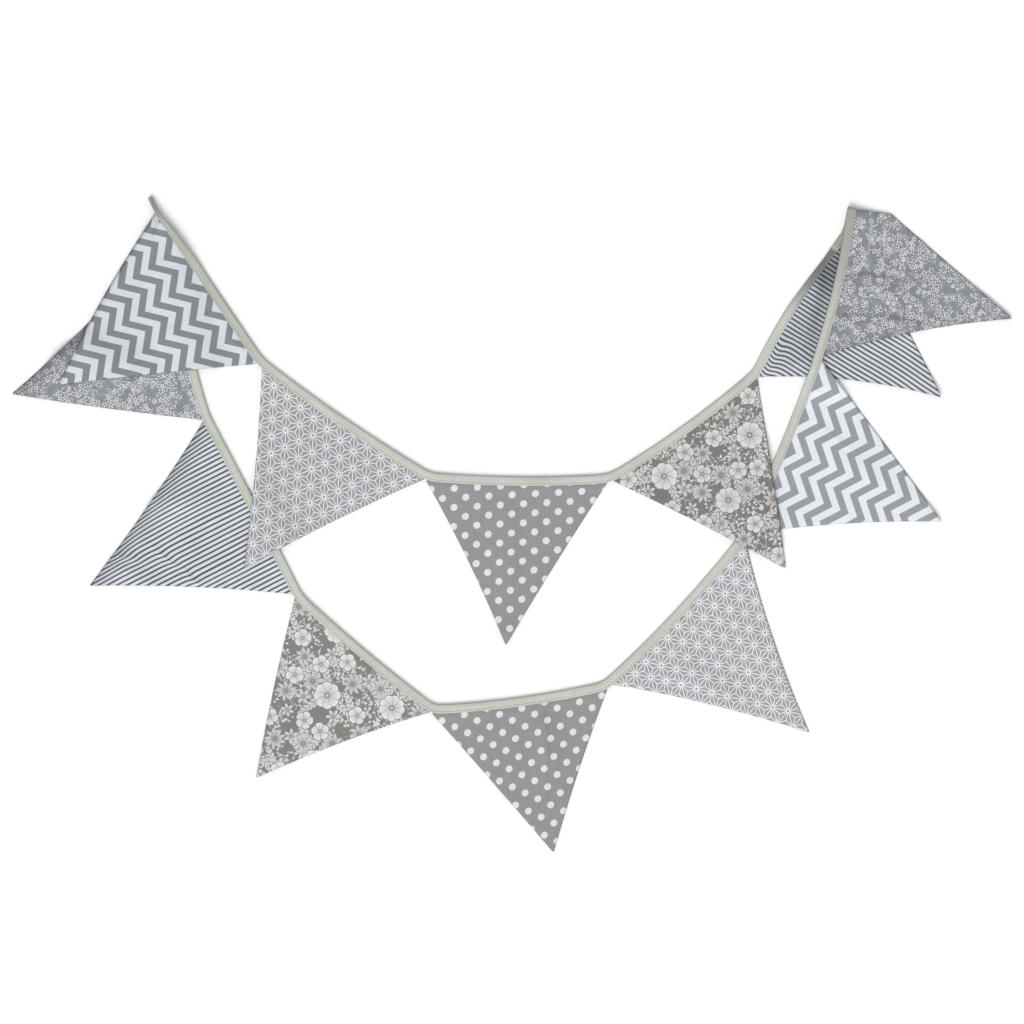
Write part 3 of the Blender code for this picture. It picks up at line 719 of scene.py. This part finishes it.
def tape_section(width):
    """The folded tape's outline: across from its flag side, and up."""
    top = [
        (0.0, 0.95), (0.08, 1.12), (0.5, 1.26), (1.2, 1.24), (1.8, 1.12), (2.4, 1.26),
        (0.36 * width, 1.42), (0.52 * width, 1.5), (0.68 * width, 1.48), (width - 1.4, 1.36),
        (width - 0.7, 1.12), (width - 0.25, 0.7), (width, 0.0),
    ]
    outer = [(across, -rise) for across, rise in top] + list(reversed(top[:-1]))
    inner = width - 1.1
    leaf = [(0.02, TAPE_GAP + 0.05), (0.3, TAPE_GAP), (0.5 * width, TAPE_GAP), (inner, TAPE_GAP)]
    return outer + leaf + [(across, -rise) for across, rise in reversed(leaf)]


def make_tape(tape, material):
    """The whole binding tape as one piece."""
    count = len(tape.run)
    size = len(tape_section(TAPE_WIDTH))
    points = np.empty((count * size, 3))
    places = np.empty((count * size, 2))
    for spot in range(count):
        section = np.array(tape_section(tape.width[spot]))
        ring = slice(spot * size, (spot + 1) * size)
        points[ring] = tape.placed(np.full(size, spot), section[:, 0], section[:, 1])
        lost = np.where(section[:, 0] > STITCHED_SIDE, TAPE_WIDTH - tape.width[spot], 0.0)
        places[ring, 0] = tape.run[spot]
        places[ring, 1] = section[:, 0] + lost
    faces = [tuple(reversed(range(size)))]
    for ring in range(count - 1):
        for corner in range(size):
            here = ring * size + corner
            side = ring * size + (corner + 1) % size
            faces.append((here, side, side + size, here + size))
    last = (count - 1) * size
    faces.append(tuple(last + corner for corner in range(size)))
    piece = new_piece("tape_cloth", points, faces, material, {"print": places})
    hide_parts("tape")


def operator(operation):
    """A method that puts a signal through a Math node."""
    return lambda self, *others: self.math(operation, *others)


class Signal:
    """A value in a node tree that sums can be written with."""

    def __init__(self, tree, socket):
        self.tree = tree
        self.socket = socket

    def math(self, operation, *others):
        """The value put through a Math node."""
        return made(self.tree, "Math", enumerate((self,) + others), operation=operation)

    __add__ = __radd__ = operator("ADD")
    __sub__ = operator("SUBTRACT")
    __mul__ = __rmul__ = operator("MULTIPLY")
    __truediv__ = operator("DIVIDE")
    __abs__ = operator("ABSOLUTE")

    def __rsub__(self, other):
        return self.math("MULTIPLY_ADD", -1.0, other)

    def __rtruediv__(self, other):
        return self.math("POWER", -1.0) * other

    def off_whole(self):
        """How far the value is from a whole number, up to a half."""
        return self.math("PINGPONG", 0.5)

    def ramp(self, low, high):
        """Nought up to low and one from high on, softly; low may be the larger."""
        inputs = (("Value", self), ("From Min", low), ("From Max", high))
        return made(self.tree, "MapRange", inputs, interpolation_type="SMOOTHSTEP")

    def over(self, ink, cover):
        """This value with ink laid over it."""
        return self * (1.0 - cover) + ink * cover


def feed(socket, value):
    """Link a signal to a socket, or set the socket."""
    if isinstance(value, Signal):
        value.tree.links.new(value.socket, socket)
    else:
        socket.default_value = value


def made(tree, kind, inputs, output=0, **settings):
    """An output of a new node, its settings made and its inputs fed."""
    node = tree.nodes.new("ShaderNode" + kind)
    for name, value in settings.items():
        setattr(node, name, value)
    for socket, value in inputs:
        feed(node.inputs[socket], value)
    return Signal(tree, node.outputs[output])


def joined(x, y):
    """Two signals as one vector."""
    return made(x.tree, "CombineXYZ", ((0, x), (1, y)))


def split(vector):
    """A vector's first two parts."""
    node = vector.tree.nodes.new("ShaderNodeSeparateXYZ")
    feed(node.inputs[0], vector)
    return Signal(vector.tree, node.outputs[0]), Signal(vector.tree, node.outputs[1])


def far(x, y):
    """How far a place is from the origin."""
    return (x * x + y * y).math("SQRT")


def wrapped(value, size):
    """How far a value is from the nearest whole step of a size."""
    return value.math("WRAP", 0.5 * size, -0.5 * size)


def centred_lattice(x, y, wide, tall):
    """Offsets and distances from the nearest points of its two halves."""
    found = []
    for share in (0.0, 0.5):
        off_x = wrapped(x + share * wide, wide)
        off_y = wrapped(y + share * tall, tall)
        found.append((off_x, off_y, far(off_x, off_y)))
    return found


def noise(x, y, size_x, size_y=None, detail=2.0, rough=0.5):
    """Soft noise from nought to one, with patches of a size."""
    place = joined(x / size_x, y / (size_y or size_x))
    inputs = (("Vector", place), ("Scale", 1.0), ("Detail", detail), ("Roughness", rough))
    return made(x.tree, "TexNoise", inputs, noise_dimensions="2D")


def cells(x, y, size):
    """Scattered spots: offsets from the nearest, its place, two random values."""
    node = x.tree.nodes.new("ShaderNodeTexVoronoi")
    node.voronoi_dimensions = "2D"
    feed(node.inputs["Vector"], joined(x, y))
    feed(node.inputs["Scale"], 1.0 / size)
    spot_x, spot_y = split(Signal(x.tree, node.outputs["Position"]))
    first, second = split(Signal(x.tree, node.outputs["Color"]))
    return x - spot_x, y - spot_y, spot_x, spot_y, first, second


def turned(x, y, angle):
    """Coordinates in a frame turned by an angle, which may be a signal."""
    if isinstance(angle, Signal):
        cosine, sine = angle.math("COSINE"), angle.math("SINE")
    else:
        cosine, sine = math.cos(angle), math.sin(angle)
    return x * cosine + y * sine, y * cosine - x * sine


def uv(tree, name):
    """The two parts of a UV map."""
    return split(made(tree, "UVMap", (), uv_map=name))


def linear(colour):
    """Linear light of an 8-bit screen colour, as the cloth's own share."""
    share = np.array(colour) / 255.0
    light = np.where(share <= 0.04045, share / 12.92, ((share + 0.055) / 1.055) ** 2.4)
    return tuple(float(part) for part in light / LIGHT) + (1.0,)


def blended(tree, share, first, second):
    """Two colours mixed."""
    inputs = ((0, share), (6, first), (7, second))
    return made(tree, "Mix", inputs, output=2, data_type="RGBA")


def shaded(colour, factor):
    """A colour times a signal."""
    inputs = ((0, colour), ("Scale", factor))
    return made(factor.tree, "VectorMath", inputs, operation="SCALE")


def bumped(height, distance, strength, below=None):
    """A bump from a height in millimetres."""
    inputs = [("Strength", strength), ("Distance", distance / METRE), ("Height", height)]
    if below is not None:
        inputs.append(("Normal", below))
    return made(height.tree, "Bump", inputs)


def weave(x, y):
    """Height of a plain weave and its threads' own variation."""
    warp = (x * (math.tau / THREAD)).math("SINE")
    weft = (y * (math.tau / THREAD)).math("SINE")
    height = (warp * weft + 1.0) * 0.5
    slubs = noise(x, y, 0.9, 14.0, 1.0) + noise(x, y, 14.0, 0.9, 1.0)
    return height, slubs


def new_cloth(name):
    """A material, its tree and its shader."""
    material = bpy.data.materials.new(name)
    material.use_nodes = True
    tree = material.node_tree
    return material, tree, tree.nodes["Principled BSDF"]


def finished(shader, colour, x, y, extra):
    """Weave, thread variation, painted shade of small wrinkles, creasing and sheen over a print's
    colour.
    """
    height, slubs = weave(x, y)
    # Painted shade: a soft mottling that stands in for the shading of small wrinkles.
    painted_wrinkle_shade = noise(x, y, 34.0, detail=3.0)
    shade = (0.965 + (slubs - 1.0) * 0.16 + (painted_wrinkle_shade - 0.5) * 0.10) * extra
    feed(shader.inputs["Base Color"], shaded(colour, shade))
    feed(shader.inputs["Roughness"], 0.84 + (slubs - 1.0) * 0.12)
    shader.inputs["Specular IOR Level"].default_value = 0.18
    shader.inputs["Sheen Weight"].default_value = 0.12
    shader.inputs["Sheen Roughness"].default_value = 0.5
    rumple = noise(x, y, 9.0, detail=3.0, rough=0.6)
    soft = bumped(rumple, 0.35, 0.5)
    threads = bumped(slubs + height, 0.05, 0.6, soft)
    feed(shader.inputs["Normal"], threads)


def seam_shade(tree):
    """Painted shade: a thin dark line along a flag's turned edge and a faint darker step over its
    seam inside.
    """
    edge, _ = uv(tree, "seam")
    line = 1.0 - edge.ramp(1.3, 0.2) * 0.34
    step = 1.0 - abs(edge - SEAM_WIDTH).ramp(1.1, 0.0) * 0.05
    return line * step


def printed(name, pattern, ground, ink):
    """A printed cotton: pattern gives the ink's share from coordinates."""
    material, tree, shader = new_cloth("cloth_" + name)
    x, y = uv(tree, "print")
    # Each flag's lightness and fade, with painted shade in the lee of folds and on rolled sides.
    lightness, faded = uv(tree, "tone_with_painted_shade")
    share = pattern(x, y).over(1.0, faded)
    colour = blended(tree, share, linear(ground), linear(ink))
    finished(shader, colour, x, y, seam_shade(tree) * lightness)
    return material


def zigzag_ink(x, y):
    """White zigzags between grey ones of the same width."""
    rise = (x / ZIGZAG_WIDE).off_whole() * (-2.0 * ZIGZAG_RISE)
    band = ((y + rise) / ZIGZAG_TALL).off_whole()
    return band.ramp(0.238, 0.262)


def star_ink(x, y):
    """A hemp-leaf lattice: stars of twelve rays with a small ring in each."""
    halves = centred_lattice(x, y, STAR_PITCH, STAR_PITCH * math.sqrt(3.0))
    (first_x, first_y, first), (second_x, second_y, second) = halves
    nearer = first.math("LESS_THAN", second)
    near_x = second_x + (first_x - second_x) * nearer
    near_y = second_y + (first_y - second_y) * nearer
    reach = first.math("MINIMUM", second)
    angle = near_y.math("ARCTAN2", near_x)
    off_ray = reach * (angle * (6.0 / math.pi)).off_whole() * (math.pi / 6.0)
    rays = off_ray.ramp(0.58, 0.26) * reach.ramp(1.9, 2.5)
    ring = abs(reach - STAR_RING).ramp(0.62, 0.26)
    return rays.math("MAXIMUM", ring)


def dot_ink(x, y):
    """White dots on a rhombic lattice."""
    first, second = (half[2] for half in centred_lattice(x, y, DOT_WIDE, DOT_TALL))
    reach = first.math("MINIMUM", second)
    ragged = (noise(x, y, 1.4, detail=1.0) - 0.5) * 0.5
    return (reach + ragged).ramp(4.25, 3.35)


def stripe_ink(x, y):
    """White between thin dark stripes."""
    wobble = (noise(x, y, 4.0, 26.0, detail=1.0) - 0.5) * 0.5
    return ((x + wobble) / STRIPE_PITCH).off_whole().ramp(0.17, 0.235)


def motif_group(name, sizes, draw):
    """A node group that lays one motif over the ink that it is given."""
    group = bpy.data.node_groups.new(name, "ShaderNodeTree")
    labels = ("X", "Y", "Ink", "At X", "At Y", "Turn") + sizes
    for label in labels:
        group.interface.new_socket(name=label, in_out="INPUT", socket_type="NodeSocketFloat")
    group.interface.new_socket(name="Ink", in_out="OUTPUT", socket_type="NodeSocketFloat")
    source = group.nodes.new("NodeGroupInput")
    sink = group.nodes.new("NodeGroupOutput")
    x, y, ink, at_x, at_y, *rest = (Signal(group, source.outputs[label]) for label in labels)
    x = wrapped(x + ink * IN_TURN - at_x, TILE)
    y = wrapped(y - at_y, TILE)
    feed(sink.inputs["Ink"], draw(x, y, ink, *rest))
    return group


def laid_motif(group, x, y, ink, sizes):
    """The ink with one motif of a group over it."""
    node = x.tree.nodes.new("ShaderNodeGroup")
    node.node_tree = group
    for socket, value in zip(node.inputs, (x, y, ink) + sizes):
        feed(socket, value)
    return Signal(x.tree, node.outputs["Ink"])


def bloom(x, y, ink, turn, radius, petals, notch, point, vein):
    """A flower or leaf cluster, its petals parted by thin lines."""
    reach = far(x, y)
    angle = y.math("ARCTAN2", x) + turn + (reach * 0.35).math("SINE") * 0.07
    off_gap = (angle * petals / math.tau).off_whole()
    off_middle = 1.0 - off_gap * 2.0
    frill = (angle * petals * 3.0 + turn).math("SINE") * 0.02
    rim = radius * (1.0 - notch * off_middle.math("MAXIMUM", 0.0).math("POWER", point) + frill)
    beyond = reach - rim
    share = reach / radius
    width = reach * (math.tau / petals)
    depth = (0.35 + notch * 1.2).math("MINIMUM", 1.0)
    gap = 1.0 - (width * off_gap).ramp(0.6, 0.2) * share.ramp(0.18, 0.30) * depth
    midrib = 1.0 - (width * (0.5 - off_gap)).ramp(0.5, 0.15) * vein * share.ramp(1.0, 0.8)
    lines = (angle * petals * 5.0).math("SINE") * 0.5 + 0.5
    streaks = 1.0 - lines * share.ramp(1.05, 0.25) * 0.62
    heart = abs(share - 0.17).ramp(0.10, 0.04)
    white = gap * streaks * midrib * (1.0 - heart * 0.8)
    return ink.over(white * beyond.ramp(0.25, -0.25), beyond.ramp(1.1, 0.6))


def spray(x, y, ink, turn, length, leaf, bow):
    """One bowed stem with pairs of pointed leaflets that lean forward."""
    x, y = turned(x, y, turn)
    y = y - bow * x * x / length
    lean = math.radians(42.0)
    pitch = 5.2
    side = abs(y)
    root = x - side * (1.0 / math.tan(lean))
    off_line = ((root / pitch) + 0.5).off_whole() * (pitch * math.sin(lean))
    reach = leaf * (1.0 - (root / length) * 0.5)
    share = side / (reach * math.sin(lean))
    width = share * (1.0 - share) * (4.0 * 1.35)
    on_stem = root.ramp(-0.2, 0.2) * root.ramp(length + 0.2, length - 0.2)
    beyond = off_line - width
    vein = 1.0 - off_line.ramp(0.42, 0.18) * 0.5
    leaves = beyond.ramp(0.18, -0.18) * vein
    cover = beyond.ramp(0.75, 0.4) * on_stem * share.ramp(1.1, 1.0)
    ink = ink.over(leaves, cover)
    stem = side.ramp(0.55, 0.2) * x.ramp(-0.3, 0.3) * x.ramp(length + 1.3, length + 0.7)
    return ink.math("MAXIMUM", stem * 0.85)


def flower_ink(x, y):
    """Open flowers of three kinds over leaf sprays and buds."""
    off_x, off_y, spot_x, spot_y, first, second = cells(x, y, 5.2)
    off_x, off_y = turned(off_x, off_y, first * math.tau)
    bud = far(off_x, off_y * math.sqrt(2.6)) - 0.9 - second * 0.9
    crowd = noise(spot_x, spot_y, 24.0, detail=1.0).ramp(0.44, 0.47)
    ink = bud.ramp(0.35, -0.1) * crowd * 0.92
    off_x, off_y, _, _, first, second = cells(x + 60.0, y, 7.4)
    off_x, off_y = turned(off_x, off_y, first * math.tau)
    aside = abs(off_y)
    beyond = aside - 1.2 + off_x * off_x * 0.14
    blade = beyond.ramp(0.2, -0.2) * (1.0 - aside.ramp(0.4, 0.15) * 0.7)
    grown = noise(x, y, 26.0, detail=1.0).ramp(0.43, 0.50)
    ink = ink.over(blade, beyond.ramp(0.7, 0.4) * second.ramp(0.45, 0.5) * grown)
    vine = abs(noise(x, y, 17.0, detail=1.0) - 0.5).ramp(0.016, 0.006)
    curl = abs(noise(x + 200.0, y, 10.0, detail=0.0) - 0.5).ramp(0.020, 0.008)
    ink = ink.math("MAXIMUM", vine.math("MAXIMUM", curl) * grown * 0.9)
    sprays = motif_group("spray", ("Length", "Leaf", "Bow"), spray)
    blooms = motif_group("bloom", ("Radius", "Petals", "Notch", "Point", "Vein"), bloom)
    motifs = [(sprays, row) for row in SPRAYS]
    motifs += [(blooms, row + kind) for kind, rows in BLOOMS.items() for row in rows]
    for group, (at_x, at_y, heading, *sizes) in motifs:
        ink = laid_motif(group, x, y, ink, (at_x, at_y, math.radians(heading), *sizes))
    worn = noise(x, y, 2.2)
    return ink * (0.80 + worn * 0.34)


def sprig_ink(x, y):
    """Loose clusters of tiny blossoms and leaflets with bare cloth between."""
    off_x, off_y, spot_x, spot_y, first, second = cells(x, y, 2.6)
    thick = noise(spot_x, spot_y, 12.0)
    off_x, off_y = turned(off_x, off_y, first * math.tau)
    leaf = far(off_x, off_y * math.sqrt(6.0)) - 0.8 - second * 0.6
    leaves = leaf.ramp(0.25, -0.15) * thick.ramp(0.40, 0.46) * (0.5 + second * 0.5)
    off_x, off_y, spot_x, spot_y, first, second = cells(x + 40.0, y, 6.3)
    thick = noise(spot_x - 40.0, spot_y, 12.0)
    reach = far(off_x, off_y)
    angle = off_y.math("ARCTAN2", off_x) + first * math.tau
    aside = (0.5 - (angle * (5.0 / math.tau)).off_whole()) * (math.tau / 5.0)
    ring = 1.6 + second * 0.9
    beyond = reach - ring
    aside = aside * reach * 1.3
    petals = far(beyond * math.sqrt(0.8), aside).ramp(1.05, 0.65)
    heart = reach.ramp(0.4, 0.2) * 0.7
    shown = thick.ramp(0.45, 0.47)
    haze = noise(x, y, 8.0).ramp(0.35, 0.75) * 0.10
    return leaves.over(petals.math("MAXIMUM", heart), beyond.ramp(1.8, 1.3) * shown).over(1.0, haze)


def tape_cloth():
    """The sage binding: bias-cut cotton with a stitched groove; painted shade darkens the groove,
    both edges and the lengths beside the fold.
    """
    material, tree, shader = new_cloth("cloth_tape")
    run, across = uv(tree, "print")
    bias_x, bias_y = turned(run, across, math.radians(45.0))
    streaks = noise(run, across, 42.0, 0.9, rough=0.6)
    groove = abs(across - STITCH_AT)
    shade = 0.90 + streaks * 0.20
    # Painted shade in the stitched groove, with painted light on its lips.
    painted_groove_shade = groove.ramp(0.7, 0.1) * 0.34 - abs(groove - 1.1).ramp(0.7, 0.0) * 0.06
    shade = shade * (1.0 - painted_groove_shade)
    # Painted shade along the tape's outer folded edge and along its flag side.
    shade = shade * (1.0 - across.ramp(TAPE_WIDTH - 1.2, TAPE_WIDTH - 0.2) * 0.28)
    shade = shade * (1.0 - across.ramp(0.5, 0.0) * 0.2)
    # Darker lengths of the tape; by the fold this is painted shade.
    for comes, goes, depth in TAPE_DIMS:
        shade = shade * (1.0 - run.ramp(*comes) * run.ramp(*goes) * depth)
    patches = noise(run, across, 60.0, 5.0, detail=1.0)
    colour = blended(tree, patches, linear(SAGE_DEEP), linear(SAGE_PALE))
    finished(shader, colour, bias_x, bias_y, shade)
    return material


def object_places(tree):
    """Coordinates on the object itself, in metres."""
    return split(made(tree, "TexCoord", (), output="Object"))


def thread_cloth():
    """The sewing thread: pale sage, twisted."""
    material, tree, shader = new_cloth("thread")
    x, y = object_places(tree)
    ply = ((x + y) * (math.tau * METRE / 0.35)).math("SINE") * 0.5 + 0.5
    colour = blended(tree, ply, linear(THREAD_DEEP), linear(THREAD_PALE))
    feed(shader.inputs["Base Color"], colour)
    feed(shader.inputs["Roughness"], 0.62 + ply * 0.12)
    shader.inputs["Sheen Weight"].default_value = 0.1
    feed(shader.inputs["Normal"], bumped(ply, 0.03, 0.6))
    return material


def paper():
    """The pale floor."""
    material, tree, shader = new_cloth("floor_paper")
    x, y = object_places(tree)
    grain = noise(x, y, 0.004)
    feed(shader.inputs["Base Color"], blended(tree, grain, PAPER_DEEP, PAPER_PALE))
    feed(shader.inputs["Roughness"], 0.86 + grain * 0.1)
    shader.inputs["Specular IOR Level"].default_value = 0.1
    return material


def stitch_faces(first):
    """Faces of one stitch: a point, four rings and a point."""
    rings = [first + 1 + STITCH_SIDES * ring for ring in range(4)]
    last = rings[-1] + STITCH_SIDES
    faces = []
    for step in range(STITCH_SIDES):
        after = (step + 1) % STITCH_SIDES
        faces.append((first, rings[0] + after, rings[0] + step))
        for low, high in zip(rings, rings[1:]):
            faces.append((low + step, low + after, high + after, high + step))
        faces.append((rings[-1] + step, rings[-1] + after, last))
    return faces


def make_stitches(tape, material):
    """The machine stitching along both faces of the tape."""
    points, faces = [], []
    for middle in np.arange(STITCH_START, tape.run[-1] - STITCH_START, STITCH_PITCH):
        spot = int(np.searchsorted(tape.run, middle))
        _, turn = fold_over(tape.flat[spot][None, :])
        if bending(turn)[0]:
            continue
        ends = [[np.interp(middle + reach, tape.run, column) for column in tape.flat.T]
                for reach in (-0.5, 0.5)]
        way = unit(np.subtract(ends[1], ends[0]))
        centre = tape.flat[spot] + (middle - tape.run[spot]) * way
        for face in (1.0, -1.0):
            faces.extend(stitch_faces(len(points)))
            for along, width in STITCH_PROFILE:
                sink = 0.0 if abs(along) < 0.6 else STITCH_SINK * (abs(along) - 0.5) / 0.5
                for step in range(STITCH_SIDES if width else 1):
                    angle = math.tau * step / STITCH_SIDES
                    across = STITCH_AT + STITCH_RADIUS * width * math.cos(angle)
                    rise = STITCH_RISE - sink + STITCH_RADIUS * width * math.sin(angle)
                    flat = centre + along * 0.5 * STITCH_LENGTH * way + across * tape.across[spot]
                    place, _ = fold_over(flat[None, :])
                    rise *= face * math.cos(turn[0])
                    points.append((place[0, 0], place[0, 1], tape.height[spot] + rise))
    new_piece("stitching", points, faces, material, {})


def make_studio():
    """Floor, soft light and camera."""
    floor = bpy.data.meshes.new("floor")
    corners = ((-1.0, -1.0), (1.0, -1.0), (1.0, 1.0), (-1.0, 1.0))
    corners = [(x * FLOOR_REACH, y * FLOOR_REACH, FLOOR_LEVEL) for x, y in corners]
    floor.from_pydata(corners, [], [(0, 1, 2, 3)])
    floor.materials.append(paper())
    ground = new_object("floor", floor)
    world = bpy.data.worlds.new("studio")
    bpy.context.scene.world = world
    world.use_nodes = True
    background = world.node_tree.nodes["Background"]
    background.inputs["Color"].default_value = (1.0, 1.0, 1.0, 1.0)
    background.inputs["Strength"].default_value = FILL
    lamp = bpy.data.lights.new("softbox", "SUN")
    lamp.energy = KEY * math.pi / unit(np.array(KEY_FROM))[2]
    lamp.angle = math.radians(KEY_SOFTNESS)
    lit = new_object("softbox", lamp)
    lit.location = KEY_FROM
    lit.rotation_euler = (-Vector(KEY_FROM)).to_track_quat("-Z", "Y").to_euler()
    camera = bpy.data.cameras.new("camera")
    camera.lens = LENS
    camera.sensor_width = SENSOR
    camera.clip_end = FAR
    eye = new_object("camera", camera)
    eye.location = (EYE[0], EYE[1], VIEW_WIDTH * LENS / SENSOR)
    bpy.context.scene.camera = eye
    bpy.context.scene.view_settings.view_transform = "Standard"


def main():
    """Build every piece."""
    patterns = {"zigzag": zigzag_ink, "star": star_ink, "dot": dot_ink,
                "flower": flower_ink, "stripe": stripe_ink, "sprig": sprig_ink}
    cloths = {name: printed(name, pattern, *PRINTS[name]) for name, pattern in patterns.items()}
    tape = Tape()
    make_tape(tape, tape_cloth())
    make_stitches(tape, thread_cloth())
    for flag in FLAGS:
        make_flag(flag, tape, cloths[flag.cloth])
    make_studio()


main()
